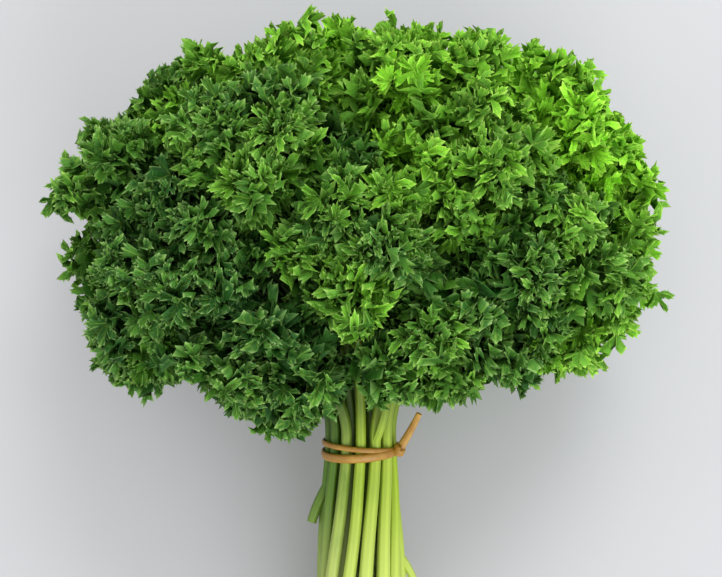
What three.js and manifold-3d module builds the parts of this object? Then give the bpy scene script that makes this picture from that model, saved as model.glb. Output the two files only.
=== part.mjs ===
// A bunch of curly parsley, lying on a flat surface: leafy stems held by one rubber band.
// Millimetres, +Z up. The origin is on the surface, under the middle of the bunch.
// The bunch points along +Y: cut ends at -Y, crown of the head at +Y, tilted up from its cut ends.
import * as THREE from 'three';
import { mergeVertices } from 'three/addons/utils/BufferGeometryUtils.js';
import Module from 'manifold-3d';

const wasm = await Module();
wasm.setup();
const { Manifold } = wasm;

// Driving dimensions of the bunch, from the middle of the band
const SEED = 7;
const TILT = THREE.MathUtils.degToRad(17); // how far the stems rise from their cut ends to the head
const BAND_CENTRE = new THREE.Vector3(1.04, -17.27, 38.4);
const CUT_END = -82; // along the bunch
const CUT_UNEVEN = 3; // how far a stem's own cut end may be from it

// Leafy stems, in whorls from the crown down. Their hubs stand evenly round an oval across the bunch,
// at a distance along it, and face away from it at an angle from the crown
const WHORLS = [
  { count: 3, along: 94, across: 25, deep: 15, facing: 24, start: 0.1 },
  { count: 6, along: 78.5, across: 56, deep: 31, facing: 60, start: 0.165 },
  { count: 7, along: 58.5, across: 62, deep: 36, facing: 88, start: 0.25 },
  { count: 6, along: 39.5, across: 54, deep: 31, facing: 110, start: 0.16 },
];
const CROWDING = 0.12; // share of a hub's spacing that a draw may move it
const WHORL_SPACING = 30; // along the bunch
const HANGING = { whorl: 3, place: 1, lower: 9, turn: 20 }; // one frond droops beside the stems
const HANGING_SIDES = [ // where that frond ends to the lower left and to the stems
  { along: -0.81, across: -0.58, reach: 18 },
  { along: -0.6, across: 0.8, reach: 21 },
];
const HEAD_START = 16; // along the bunch, where the leaves of the head's underside end
const UNDERSIDE_SLANT = 0.07; // how much higher they end at the right, for each millimetre across
const HEAD_SHIFT = -2; // of the head across the stems
const HEAD_SLANT = 0.04; // how much higher the head's right side is, for each millimetre across

// Stems
const STEM_PITCH = 3.5; // between neighbours under the band
const STEM_RADIUS = { cut: 2.2, band: 1.45, hub: 1.2 };
const BUNDLE_RINGS = [0.6, 1.53, 2.5]; // radius of each ring of stems, in pitches
const SPREAD_AT_CUT = 1.55;
const TWIST_AT_CUT = 0.75;
const PARTING = 5; // along the bunch, where the stems begin to part
const STEM_SIDES = 6;
const STEM_STEPS = 36; // along a stem, of which only some carry a section
const SECTIONS_ABOVE = 5;
const HELD_POINTS = 5; // spaces between the points of a stem's held part
const RISE = 0.36; // of the way to its hub: how far a parting stem keeps to the bunch's direction
const ARRIVAL = 0.22; // of the way to its hub: how far it comes in along the frond's own axis
const TIP_GAP = 0.4; // between a stem and its frond's core

// Fronds: leaflets in whorls up the frond's own axis, each leaning out from it
const CORE_RADIUS = 10;
const BLADE_THICKNESS = 0.8;
const LEAF_LENGTH = 38;
const FROND_HEIGHT = 25; // from a hub out to the head's surface
const LEAFLET_WHORLS = [
  { count: 5, lift: -4, lean: 82, length: 1.0, roll: 6 },
  { count: 4, lift: 1, lean: 52, length: 0.92, roll: -6 },
  { count: 1, lift: 4, lean: 8, length: 0.75, roll: 0 },
];
// Half of a leaflet's edge from its root to its tip, as shares of its length: tips and notches by turns
const MIDRIB = 0.5;
const HALF_EDGE = [
  { along: 0.74, across: 0.47 },
  { along: 0.74, across: 0.27 },
  { along: 0.96, across: 0.28 },
  { along: 0.84, across: 0.11 },
];
const WAVE = 2.2; // how far neighbouring tips bend to either side of the blade
const MIDRIB_WAVE = -0.3; // share of that at the midrib
const UNEVEN = { round: 0.1, lean: 4, roll: 6, length: 0.08 }; // how much draws may change a leaflet
const NODE_GAP = 0.9; // from a blade's middle surface to the plane between two fronds
const HUG = 5; // how sharply a leaf bends as it nears a neighbour
const CORE_SPACE = 16; // round the bunch's axis, kept for the stems
const CORE_MARGIN = 6; // a hub closer than this to that space isn't kept out of it
const BACK_REACH = 6; // how far leaves may reach behind their hub

// Leaves under the bunch that it rests on: they bend at a knee and lie flat on the surface
const RESTING_COUNT = 4;
const KNEE_OUT = 4; // from under the hub

// Rubber band, wound twice round the stems: half sizes of its strand, and how each turn leans
const STRAND = { across: 1.1, deep: 0.55 };
const BAND_GAP = 0.5;
const TURNS = [
  { along: 0.9, leanLeft: 0.9, leanFront: 0.1 },
  { along: -0.9, leanLeft: -0.8, leanFront: -0.5 },
];
const BAND_STEPS = 18;
const KNOT = { radius: 1.9, along: 0.2, round: 20 };
const TAG_REACH = { along: 11, across: 5.6, out: 4.5 }; // of the band's free end, from the knot
const TAG_BEND = { along: 0.5, across: 0.6, out: 0.3 }; // shares of that reach where it bends

// Side shoots, two broken off and one rising: place along the bunch and round it, how far down and out
const SHOOTS = [
  { along: -11, round: 172, down: 10.5, out: 3.6, radius: 1.5 },
  { along: -31, round: 8, down: 7.5, out: 3.4, radius: 1.2 },
  { along: 3, round: 72, down: -12, out: 5.5, radius: 1.1 },
];
const SHOOT_BEND = { down: 0.4, out: 0.8 }; // shares of its reach where a shoot bends
const SHOOT_FLARE = 1.2; // how much farther out its tip is
const FAR_OUT = 100; // a distance well outside the bundle

const SURFACE = 0;
const STEM_COLOUR = '#a3c154';
const LEAF_COLOUR = { hue: 0.28, hueSpread: 0.02, saturation: 0.58, lightness: 0.28 };
const BAND_COLOUR = '#bd8434';

const deg = THREE.MathUtils.degToRad;
const ALONG = new THREE.Vector3(0, Math.cos(TILT), Math.sin(TILT));
const ACROSS = new THREE.Vector3(1, 0, 0);
const UP = new THREE.Vector3().crossVectors(ACROSS, ALONG);

// A repeatable draw from 0 to 1 for a pair of whole numbers
function draw(i, k) {
  const wave = Math.sin((i + SEED) * 12.9898 + k * 78.233) * 43758.5453;
  return wave - Math.floor(wave);
}

// The same, from -1 to 1
function spreadDraw(i, k) {
  return 2 * draw(i, k) - 1;
}

// A point given along the bunch, across it and out of its flat plane
function inBunch(along, across, out) {
  return BAND_CENTRE.clone()
    .addScaledVector(ALONG, along)
    .addScaledVector(ACROSS, across)
    .addScaledVector(UP, out);
}

function direction(along, across, out) {
  return new THREE.Vector3()
    .addScaledVector(ALONG, along)
    .addScaledVector(ACROSS, across)
    .addScaledVector(UP, out)
    .normalize();
}

// Where each leafy stem's hub stands and which way its leaves face
function placeHubs() {
  const hubs = [];
  WHORLS.forEach((whorl, w) => {
    const oval = new THREE.EllipseCurve(0, 0, whorl.across, whorl.deep);
    for (let k = 0; k < whorl.count; k++) {
      const i = hubs.length;
      const turns = whorl.start + (k + CROWDING * spreadDraw(i, 1)) / whorl.count;
      const place = oval.getPointAt(turns - Math.floor(turns));
      const edge = oval.getTangentAt(turns - Math.floor(turns));
      const outward = direction(0, edge.y, -edge.x);
      const hangs = w === HANGING.whorl && k === HANGING.place ? 1 : 0;
      const uneven = WHORL_SPACING * CROWDING * spreadDraw(i, 2);
      const along = whorl.along + uneven + HEAD_SLANT * place.x - HANGING.lower * hangs;
      const fromCrown = deg(whorl.facing + HANGING.turn * hangs);
      const headStart = HEAD_START + UNDERSIDE_SLANT * Math.max(place.x, 0) - HANGING.lower * hangs;
      hubs.push({
        index: i,
        whorl: w,
        hangs,
        aboveStart: along - headStart,
        round: Math.atan2(place.y, place.x),
        point: inBunch(along, place.x + HEAD_SHIFT, place.y),
        facing: ALONG.clone()
          .multiplyScalar(Math.cos(fromCrown))
          .addScaledVector(outward, Math.sin(fromCrown)),
        outward,
        fromAxis: outward.dot(direction(0, place.x, place.y)) * place.length(),
      });
    }
  });
  return hubs;
}

// Ring and angle under the band for each hub: inner whorls inside, the outer two share the last ring
function placeInBundle(hubs) {
  const rings = [[], [], []];
  for (const hub of hubs) rings[Math.min(hub.whorl, 2)].push(hub);
  rings.forEach((ring, r) => {
    ring.sort((a, b) => a.round - b.round);
    const meanRound = ring.reduce((sum, hub) => sum + hub.round, 0) / ring.length;
    ring.forEach((hub, k) => {
      hub.bundleRadius = BUNDLE_RINGS[r] * STEM_PITCH;
      hub.bundleRound = meanRound + (2 * Math.PI * (k - (ring.length - 1) / 2)) / ring.length;
    });
  });
}

// The stem's line from its cut end, through the band, to just behind its hub
function stemCurve(hub) {
  const path = new THREE.CurvePath();
  const cut = CUT_END + CUT_UNEVEN * spreadDraw(hub.index, 3);
  const held = [];
  for (let k = 0; k <= HELD_POINTS; k++) {
    held.push(bundlePoint(hub, THREE.MathUtils.lerp(cut, PARTING, k / HELD_POINTS)));
  }
  const parting = held[held.length - 1];
  const end = hub.point.clone().addScaledVector(hub.facing, -(CORE_RADIUS + TIP_GAP));
  const reach = parting.distanceTo(end);
  const rise = parting.clone().addScaledVector(ALONG, RISE * reach);
  const arrive = end.clone().addScaledVector(hub.facing, -ARRIVAL * reach);
  path.add(new THREE.CatmullRomCurve3(held));
  path.add(new THREE.CubicBezierCurve3(parting, rise, arrive, end));
  return path;
}

// A stem's place in the bundle at a distance along it: spread and twisted towards the cut ends
function bundlePoint(hub, along) {
  const share = Math.max(along / CUT_END, 0);
  const radius = hub.bundleRadius * (1 + (SPREAD_AT_CUT - 1) * share);
  const round = hub.bundleRound + TWIST_AT_CUT * share;
  return inBunch(along, radius * Math.cos(round), radius * Math.sin(round));
}

// A closed tube with a ring of points at each of the given steps of its curve, as a geometry
function taperedTube(curve, steps, stations, radiusAt) {
  const frames = curve.computeFrenetFrames(steps, false);
  const points = [];
  const faces = [];
  for (const step of stations) {
    const centre = curve.getPointAt(step / steps);
    const radius = radiusAt(step / steps);
    for (let k = 0; k < STEM_SIDES; k++) {
      const angle = (2 * Math.PI * k) / STEM_SIDES;
      const point = centre.clone()
        .addScaledVector(frames.normals[step], radius * Math.cos(angle))
        .addScaledVector(frames.binormals[step], radius * Math.sin(angle));
      points.push(point.setZ(Math.max(point.z, SURFACE)));
    }
  }
  const last = (stations.length - 1) * STEM_SIDES;
  for (let start = 0; start < last; start += STEM_SIDES) {
    for (let k = 0; k < STEM_SIDES; k++) {
      const [a, b] = [start + k, start + ((k + 1) % STEM_SIDES)];
      faces.push([a, b, b + STEM_SIDES], [a, b + STEM_SIDES, a + STEM_SIDES]);
    }
  }
  for (let k = 1; k < STEM_SIDES - 1; k++) {
    faces.push([0, k + 1, k], [last, last + k, last + k + 1]);
  }
  return geometryOf(points, faces);
}

function geometryOf(points, faces) {
  const geometry = new THREE.BufferGeometry().setFromPoints(points);
  geometry.setIndex(faces.flat());
  return geometry;
}

// A closed geometry as a solid that can be joined and cut
function solidOf(geometry) {
  const bare = geometry.clone().deleteAttribute('normal').deleteAttribute('uv');
  const merged = mergeVertices(bare, 1e-4);
  return new Manifold(new wasm.Mesh({
    numProp: 3,
    vertProperties: new Float32Array(merged.attributes.position.array),
    triVerts: new Uint32Array(merged.index.array),
  }));
}

function geometryFrom(solid) {
  const mesh = solid.getMesh();
  const geometry = new THREE.BufferGeometry();
  geometry.setAttribute('position', new THREE.BufferAttribute(mesh.vertProperties, 3));
  geometry.setIndex(new THREE.BufferAttribute(mesh.triVerts, 1));
  geometry.computeVertexNormals();
  return geometry;
}

function stemGeometry(hub, shoots) {
  const curve = stemCurve(hub);
  const lengths = curve.getCurveLengths();
  const bandShare = lengths[0] / lengths[1];
  const { cut, band, hub: tip } = STEM_RADIUS;
  const radiusAt = (t) => (t < bandShare
    ? THREE.MathUtils.lerp(cut, band, t / bandShare)
    : THREE.MathUtils.lerp(band, tip, (t - bandShare) / (1 - bandShare)));
  const atBand = Math.round(bandShare * STEM_STEPS);
  const above = STEM_STEPS - atBand;
  const stations = [0, Math.round(atBand / 2), atBand - 2];
  for (let k = 0; k <= SECTIONS_ABOVE; k++) {
    stations.push(atBand + Math.round((above * k) / SECTIONS_ABOVE));
  }
  const stem = solidOf(taperedTube(curve, STEM_STEPS, stations, radiusAt));
  const sideShoots = shoots.map((shoot) => solidOf(shootGeometry(hub, shoot)));
  return geometryFrom(Manifold.union([stem, ...sideShoots]));
}

// A short side shoot broken off, from inside its stem out to the side and down
function shootGeometry(hub, { along, down, out, radius }) {
  const from = bundlePoint(hub, along);
  const away = from.clone().sub(inBunch(along, 0, 0)).normalize();
  const end = from.clone().addScaledVector(ALONG, -down).addScaledVector(away, out + SHOOT_FLARE);
  const middle = from.clone()
    .addScaledVector(ALONG, -SHOOT_BEND.down * down)
    .addScaledVector(away, SHOOT_BEND.out * out);
  const line = new THREE.QuadraticBezierCurve3(from, middle, end);
  return taperedTube(line, 3, [0, 1, 2, 3], () => radius);
}

// Each shoot grows on the outer stem nearest to where it stands round the bundle
function shootsByStem(hubs) {
  const byStem = new Map(hubs.map((hub) => [hub, []]));
  for (const shoot of SHOOTS) {
    const round = deg(shoot.round);
    const aim = inBunch(shoot.along, FAR_OUT * Math.cos(round), FAR_OUT * Math.sin(round));
    const nearness = (hub) => bundlePoint(hub, shoot.along).distanceTo(aim);
    byStem.get(hubs.reduce((best, hub) => (nearness(hub) < nearness(best) ? hub : best))).push(shoot);
  }
  return byStem;
}

// One turn of the band: an oval strand swept round the bundle, leaning along it
function turnGeometry({ along, leanLeft, leanFront }) {
  const bundleRadius = BUNDLE_RINGS[2] * STEM_PITCH + STEM_RADIUS.band;
  const radius = bundleRadius + BAND_GAP + STRAND.deep;
  const section = new THREE.EllipseCurve(radius, 0, STRAND.deep, STRAND.across).getPoints(STEM_SIDES);
  const ring = new THREE.LatheGeometry(section, BAND_STEPS);
  const { position } = ring.attributes;
  for (let k = 0; k < position.count; k++) {
    const [x, y, z] = [position.getX(k), position.getY(k), position.getZ(k)];
    const lean = along - (leanLeft * x) / radius + (leanFront * z) / radius;
    const p = inBunch(y + lean, x, z);
    position.setXYZ(k, p.x, p.y, p.z);
  }
  return ring;
}

// The band: its turns, the knot where they meet at the right, and the free end that rises from it
function bandGeometry() {
  const radius = BUNDLE_RINGS[2] * STEM_PITCH + STEM_RADIUS.band + BAND_GAP + KNOT.radius;
  const knot = inBunch(KNOT.along, radius * Math.cos(deg(KNOT.round)), radius * Math.sin(deg(KNOT.round)));
  const knotShape = new THREE.IcosahedronGeometry(KNOT.radius, 0).translate(...knot.toArray());
  const fromKnot = (share) => knot.clone()
    .addScaledVector(ALONG, share.along * TAG_REACH.along)
    .addScaledVector(ACROSS, share.across * TAG_REACH.across)
    .addScaledVector(UP, share.out * TAG_REACH.out);
  const top = fromKnot({ along: 1, across: 1, out: 1 });
  const tagLine = new THREE.QuadraticBezierCurve3(knot, fromKnot(TAG_BEND), top);
  const tag = taperedTube(tagLine, 4, [0, 1, 2, 3, 4], () => STRAND.across);
  return geometryFrom(Manifold.union([...TURNS.map(turnGeometry), knotShape, tag].map(solidOf)));
}

// The planes that bound one frond's space: half way to each neighbour, the surface, its own back, the stems
function limitsOf(hub, hubs) {
  const limits = [];
  for (const other of hubs) {
    if (other === hub) continue;
    const towards = other.point.clone().sub(hub.point);
    const reach = towards.length() / 2 - NODE_GAP;
    limits.push({ normal: towards.normalize(), reach });
  }
  limits.push({ normal: hub.facing.clone().negate(), reach: BACK_REACH });
  limits.push({ normal: hub.facing, reach: FROND_HEIGHT });
  limits.push({ normal: ALONG.clone().negate(), reach: hub.aboveStart });
  for (const { along, across, reach } of hub.hangs ? HANGING_SIDES : []) {
    limits.push({ normal: direction(along, across, 0), reach });
  }
  if (hub.fromAxis > CORE_SPACE + CORE_MARGIN) {
    limits.push({ normal: hub.outward.clone().negate(), reach: hub.fromAxis - CORE_SPACE });
  }
  return limits;
}

// Draws a point back towards a centre so that it stays inside the limits, without folding anything over
function gather(point, centre, hub, limits) {
  const arm = point.clone().sub(centre);
  const offset = centre.clone().sub(hub.point);
  let push = 0;
  for (const { normal, reach } of limits) {
    push = Math.max(push, normal.dot(arm) / (reach - normal.dot(offset)));
  }
  const kept = Math.pow(1 + Math.pow(push, HUG), -1 / HUG);
  return centre.clone().addScaledVector(arm, kept);
}

// The middle surface of one leaflet: pointed lobes on a narrow root, as points and triangles
function leafletSheet(at, wave) {
  const half = (side) => HALF_EDGE.map(({ along, across }, k) => at(along, side * across, bendAt(k, wave)));
  const rim = [at(0, 0, 0), ...half(-1), at(1, 0, wave), ...half(1).reverse()];
  const faces = rim.map((_, k) => [k, (k + 1) % rim.length, rim.length]);
  return { points: [...rim, at(MIDRIB, 0, MIDRIB_WAVE * wave)], faces, rim: [...rim.keys()] };
}

function standingSheet({ root, stalk, side, face, length, wave }) {
  const at = (along, across, bend) => root.clone()
    .addScaledVector(stalk, along * length)
    .addScaledVector(side, across * length)
    .addScaledVector(face, bend);
  return leafletSheet(at, wave);
}

// A leaflet that reaches down from its root, bends and lies flat on the surface
function restingSheet({ root, length }, hub) {
  const onwards = new THREE.Vector3(hub.facing.x, hub.facing.y, 0).normalize();
  const side = new THREE.Vector3(-onwards.y, onwards.x, 0);
  const knee = hub.point.clone().addScaledVector(onwards, KNEE_OUT).setZ(SURFACE + BLADE_THICKNESS / 2);
  const at = (along, across) => {
    if (along === 0) return root.clone();
    return knee.clone()
      .addScaledVector(onwards, (along - MIDRIB) * length)
      .addScaledVector(side, across * length);
  };
  return { ...leafletSheet(at, 0), knee };
}

// Tips bend to either side by turns, notches stay in the middle
function bendAt(place, wave) {
  if (place % 2) return 0;
  return place % 4 ? -wave : wave;
}

// A closed blade of even thickness on a sheet, split into the same triangles on both of its sides
function bladeGeometry(sheet, normals) {
  const { points, faces, rim } = sheet;
  const count = points.length;
  const half = BLADE_THICKNESS / 2;
  const lifted = points.map((p, k) => p.clone().addScaledVector(normals[k], half));
  const lowered = points.map((p, k) => p.clone().addScaledVector(normals[k], -half));
  const closed = [...faces, ...faces.map(([a, b, c]) => [a + count, c + count, b + count])];
  rim.forEach((a, k) => {
    const b = rim[(k + 1) % rim.length];
    closed.push([b, a, a + count], [b, a + count, b + count]);
  });
  return geometryOf([...lifted, ...lowered], closed);
}

// Vertex normals of a sheet
function sheetNormals({ points, faces }) {
  const normals = points.map(() => new THREE.Vector3());
  for (const [a, b, c] of faces) {
    const edge = points[b].clone().sub(points[a]);
    const normal = edge.cross(points[c].clone().sub(points[a]));
    for (const k of [a, b, c]) normals[k].add(normal);
  }
  return normals.map((n) => n.normalize());
}

// The leaflets of one frond, in whorls round the way it faces
function leafletsOf(hub) {
  const sideways = Math.abs(hub.facing.z) > 0.9 ? new THREE.Vector3(1, 0, 0) : new THREE.Vector3(0, 0, 1);
  const east = new THREE.Vector3().crossVectors(sideways, hub.facing).normalize();
  const north = new THREE.Vector3().crossVectors(hub.facing, east);
  const leaflets = [];
  LEAFLET_WHORLS.forEach((whorl, w) => {
    const turn = 360 * draw(hub.index, 10 + w);
    for (let k = 0; k < whorl.count; k++) {
      const seed = 20 + leaflets.length * 5;
      const round = deg(turn + (360 / whorl.count) * (k + UNEVEN.round * spreadDraw(hub.index, seed)));
      const lean = deg(whorl.lean + UNEVEN.lean * spreadDraw(hub.index, seed + 1));
      const outward = east.clone().multiplyScalar(Math.cos(round)).addScaledVector(north, Math.sin(round));
      const side = new THREE.Vector3().crossVectors(hub.facing, outward);
      const stalk = outward.clone()
        .multiplyScalar(Math.sin(lean))
        .addScaledVector(hub.facing, Math.cos(lean));
      side.applyAxisAngle(stalk, deg(whorl.roll + UNEVEN.roll * spreadDraw(hub.index, seed + 2)));
      leaflets.push({
        stalk,
        side,
        face: new THREE.Vector3().crossVectors(stalk, side),
        root: hub.point.clone().addScaledVector(hub.facing, whorl.lift),
        length: LEAF_LENGTH * whorl.length * (1 + UNEVEN.length * spreadDraw(hub.index, seed + 3)),
        wave: WAVE * (draw(hub.index, seed + 4) < 0.5 ? -1 : 1),
      });
    }
  });
  return leaflets;
}

// A frond: its leaflets fused into the small core where they meet
function frondGeometry(hub, hubs) {
  const limits = limitsOf(hub, hubs);
  const clearance = SURFACE + 1.5 * BLADE_THICKNESS;
  const overSurface = { normal: new THREE.Vector3(0, 0, -1), reach: hub.point.z - clearance };
  const core = new THREE.OctahedronGeometry(CORE_RADIUS);
  core.applyQuaternion(new THREE.Quaternion().setFromUnitVectors(new THREE.Vector3(0, 0, 1), hub.facing));
  core.translate(...hub.point.toArray());
  const parts = [solidOf(core)];
  const leaflets = leafletsOf(hub);
  leaflets.forEach((leaflet, k) => {
    if (hub.rests && k === leaflets.length - 1) {
      const sheet = restingSheet(leaflet, hub);
      sheet.points = sheet.points.map((p, n) => (n === 0 ? p : gather(p, sheet.knee, hub, limits)));
      const upright = (n) => new THREE.Vector3(0, 0, Math.sign(n.z));
      const normals = sheetNormals(sheet).map((n, m) => (m === 0 ? n : upright(n)));
      parts.push(solidOf(bladeGeometry(sheet, normals)));
      return;
    }
    const sheet = standingSheet(leaflet);
    sheet.points = sheet.points.map((p) => gather(p, hub.point, hub, [...limits, overSurface]));
    parts.push(solidOf(bladeGeometry(sheet, sheetNormals(sheet))));
  });
  return geometryFrom(wholeBody(Manifold.union(parts)));
}

// The largest body of a solid, with any hollow sealed inside it filled
function wholeBody(solid) {
  return solid.decompose().reduce((best, body) => (body.volume() > best.volume() ? body : best));
}

function meshOf(name, geometry, colour, roughness) {
  const material = new THREE.MeshStandardMaterial({ color: colour, roughness, metalness: 0 });
  const mesh = new THREE.Mesh(geometry, material);
  mesh.name = name;
  return mesh;
}

const bunch = new THREE.Group();
const hubs = placeHubs();
placeInBundle(hubs);
const lowest = [...hubs].sort((a, b) => a.point.z - b.point.z);
for (const hub of lowest.slice(0, RESTING_COUNT)) hub.rests = true;
const shoots = shootsByStem(hubs);
for (const hub of hubs) {
  const number = String(hub.index + 1).padStart(2, '0');
  const hue = LEAF_COLOUR.hue + LEAF_COLOUR.hueSpread * spreadDraw(hub.index, 5);
  const green = new THREE.Color().setHSL(hue, LEAF_COLOUR.saturation, LEAF_COLOUR.lightness);
  bunch.add(meshOf(`stem_${number}`, stemGeometry(hub, shoots.get(hub)), STEM_COLOUR, 0.5));
  bunch.add(meshOf(`frond_${number}`, frondGeometry(hub, hubs), green, 0.55));
}
bunch.add(meshOf('rubber_band', bandGeometry(), BAND_COLOUR, 0.45));

export default bunch;
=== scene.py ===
"""A bunch of curly parsley, lying on a pale surface: leafy stems held by one rubber band.

The layout (hubs, stems, band) repeats the rule of the solid model, in millimetres. Every mesh is made
in metres.
"""

import math
from collections import namedtuple

import bmesh
import bpy
import numpy as np
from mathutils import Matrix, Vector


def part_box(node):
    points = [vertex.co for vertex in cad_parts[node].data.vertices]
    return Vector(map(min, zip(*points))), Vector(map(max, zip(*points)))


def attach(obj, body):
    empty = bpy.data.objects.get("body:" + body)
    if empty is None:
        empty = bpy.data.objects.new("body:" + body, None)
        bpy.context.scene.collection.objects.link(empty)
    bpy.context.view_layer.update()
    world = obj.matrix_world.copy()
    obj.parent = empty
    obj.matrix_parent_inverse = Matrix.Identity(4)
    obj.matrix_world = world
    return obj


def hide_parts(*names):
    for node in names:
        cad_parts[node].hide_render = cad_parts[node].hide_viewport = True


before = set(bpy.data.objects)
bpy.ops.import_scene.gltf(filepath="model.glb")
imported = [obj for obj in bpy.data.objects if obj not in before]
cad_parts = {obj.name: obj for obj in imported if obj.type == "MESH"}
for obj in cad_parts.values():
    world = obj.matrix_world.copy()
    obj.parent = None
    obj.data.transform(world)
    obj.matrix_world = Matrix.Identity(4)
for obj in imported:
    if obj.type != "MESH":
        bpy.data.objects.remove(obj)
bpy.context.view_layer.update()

bl_info = {
    "name": "Parsley bunch",
    "version": (1, 0, 0),
    "blender": (4, 5, 0),
    "location": "View3D > Sidebar > Parsley",
    "description": "Builds a bunch of curly parsley held by a rubber band, lying on a pale surface",
    "category": "Add Mesh",
}

MM = 0.001

# Directions of the bunch: along it from its stems to its crown, across it, and out of its flat plane
TILT = math.radians(17)
ALONG = np.array([0, math.cos(TILT), math.sin(TILT)])
ACROSS = np.array([1.0, 0, 0])
UP = np.cross(ACROSS, ALONG)
BAND_CENTRE = np.array([1.04, -17.27, 38.4])

# Seeds of the random draws, the number that each thing drawn for a stem has, and the numbers that mix a draw
SEED = 7
FROND_SEED = 1000
DRAWS = {"place": 1, "height": 2, "cut": 3, "tone": 8, "girth": 9, "wave": 11, "whiteness": 13, "age": 645}
MIXING = (12.9898, 78.233, 43758.5453)

# Whorls of leafy stems from the crown down: how many, the oval that their hubs stand on, the way they face
# in degrees from the crown's, and where on the oval the first one stands
WHORLS = (
    {"count": 3, "along": 94, "across": 25, "deep": 15, "facing": 24, "start": 0.1},
    {"count": 6, "along": 78.5, "across": 56, "deep": 31, "facing": 60, "start": 0.165},
    {"count": 7, "along": 58.5, "across": 62, "deep": 36, "facing": 88, "start": 0.25},
    {"count": 6, "along": 39.5, "across": 54, "deep": 31, "facing": 110, "start": 0.16},
)
FROND_COUNT = sum(whorl["count"] for whorl in WHORLS)
# How uneven their places are, and the frond that hangs lowest, with the planes at its sides
CROWDING = 0.12
WHORL_SPACING = 30
HANGING = {"whorl": 3, "place": 1, "lower": 9, "turn": 20}
HANGING_SIDES = (
    {"along": -0.81, "across": -0.58, "reach": 16},
    {"along": -0.6, "across": 0.8, "reach": 25},
)

# The head: where it starts above the band, how it slants and stands aside, and the planes of its shoulders
HEAD_START = 16
UNDERSIDE_SLANT = 0.07
HEAD_SHIFT = -2
HEAD_SLANT = 0.04
SHOULDERS = (
    {"along": 0.82, "across": -0.57, "reach": 117.5},
    {"along": 0.70, "across": 0.71, "reach": 118},
)
LEAST_ROOM = 12

# Stems: how they stand in the bundle, how they leave it for their hubs, and how they bend on the way
CUT_END = -82
CUT_UNEVEN = 3
STEM_PITCH = 3.5
STEM_RADIUS = {"cut": 2.2, "band": 1.45, "hub": 1.2}
GIRTH_SPREAD = 0.12
BUNDLE_RINGS = (0.6, 1.53, 2.5)
# Whorls whose stems lie inside the bundle, where they are painted in shade
INNER_WHORLS = 2
SPREAD_AT_CUT = 1.55
TWIST_AT_CUT = 0.75
PARTING = 5
RISE = 0.36
ARRIVAL = 0.22
STEM_WAVE = {"height": 0.45, "from_band": 18, "from_hub": 25, "across": 13, "out": 16}
STEM_ABOVE_SURFACE = 0.1
# The flat end of a tube is drawn in twice, by this share of its radius, and sinks by these shares
CUT_FACE = {"inset": 0.28, "depths": (-0.04, -0.08)}
# How a stem's colour differs from the next one's: the usual share, what the left adds, and what a draw adds.
# The olive tone that the left adds is partly painted shade, on the side away from the light
STEM_MARKS = {"tone": (0.2, 0.5, 0.6), "whiteness": (0.35, 0.4, 0.6)}

# The room of a frond round its hub, the free middle of the head, and how closely leaves follow their limits
CORE_RADIUS = 10
STEM_GAP = 0.4
FROND_HEIGHT = 25.5
FROND_BACK = 10
CORE_SPACE = 16
CORE_MARGIN = {"least": 6, "into": 2}
HUG = 5
# How far the middle of a leaf segment keeps from the plane half way to the next frond, from the other limits
# of its frond, and from the surface
CREASE = 2.4
INSET = 2.0
ABOVE_SURFACE = 0.3
# Bumps and dents of the head's outline: place along and across the bunch, and how far leaves are moved there
BUMPS = (
    ((115, 35), (5, 0)),
    ((108, 52), (4, 1)),
    ((124, 12), (-4.5, 0)),
    ((121, -5), (1, 0)),
    ((106, -50), (6, 0)),
    ((97, -72), (-6, 0)),
    ((86, -80), (4, -0.5)),
    ((64, -82), (0, -3.5)),
    ((54, -86), (0, 3)),
    ((43, -80), (0, 2)),
    ((43, 80), (0, 4.5)),
    ((77, 81), (0, 2)),
    ((16, -49), (4.5, 0)),
    ((17, 38), (4.5, 0)),
    ((20, 61), (3, 0)),
)
BUMP_SIZE = 10

# Rim of a lobe, by turns a tooth's tip and a notch: place across from -1 to 1, and share of the lobe's length
FINE_TEETH = (
    (-0.92, 0.76), (-0.74, 0.72), (-0.52, 0.91), (-0.27, 0.84), (0.02, 1.0),
    (0.27, 0.83), (0.53, 0.90), (0.75, 0.72), (0.93, 0.77),
)
PLAIN_TEETH = ((-0.7, 0.92), (-0.3, 0.8), (0.02, 1.0), (0.34, 0.8), (0.72, 0.9))
# The points inside a lobe that its teeth stand on, given the same way
FINE_WITHIN = ((-0.55, 0.57), (0.0, 0.66), (0.55, 0.57))
PLAIN_WITHIN = ((0.0, 0.58),)
# Kinds of leaf segment: how the blade cups, and each lobe's angle from the midrib, half width and length.
# The broad ones come first, then the others with fine teeth, and those with plain teeth last
LEAF_KINDS = (
    (-0.55, ((-80, 19, 0.74), (-41, 20, 0.92), (0, 20, 1.0), (41, 20, 0.90), (80, 19, 0.72))),
    (0.40, ((-76, 18, 0.66), (-38, 20, 0.88), (2, 20, 1.0), (43, 20, 0.95), (83, 19, 0.80))),
    (-0.20, ((-84, 20, 0.80), (-43, 20, 0.96), (-2, 20, 0.97), (38, 19, 0.86), (75, 18, 0.70))),
    (0.60, ((-58, 19, 0.80), (-19, 20, 0.98), (21, 20, 1.0), (60, 19, 0.82))),
    (-0.45, ((-42, 21, 0.86), (0, 21, 1.0), (42, 21, 0.88))),
    (0.45, ((-40, 21, 0.94), (3, 21, 0.98), (45, 20, 0.82))),
    (0.10, ((-44, 20, 0.80), (-3, 21, 1.0), (38, 21, 0.94))),
    (-0.40, ((-54, 26, 0.84), (0, 27, 1.0), (54, 26, 0.88))),
    (0.50, ((-52, 26, 0.90), (4, 27, 1.0), (58, 26, 0.80))),
)
BROAD_KINDS = 4
FINE_KINDS = 7
STALK_KIND = len(LEAF_KINDS)
STALK_TAPER = ((0.0, 0.5), (0.55, 0.42), (1.0, 0.3))

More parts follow.
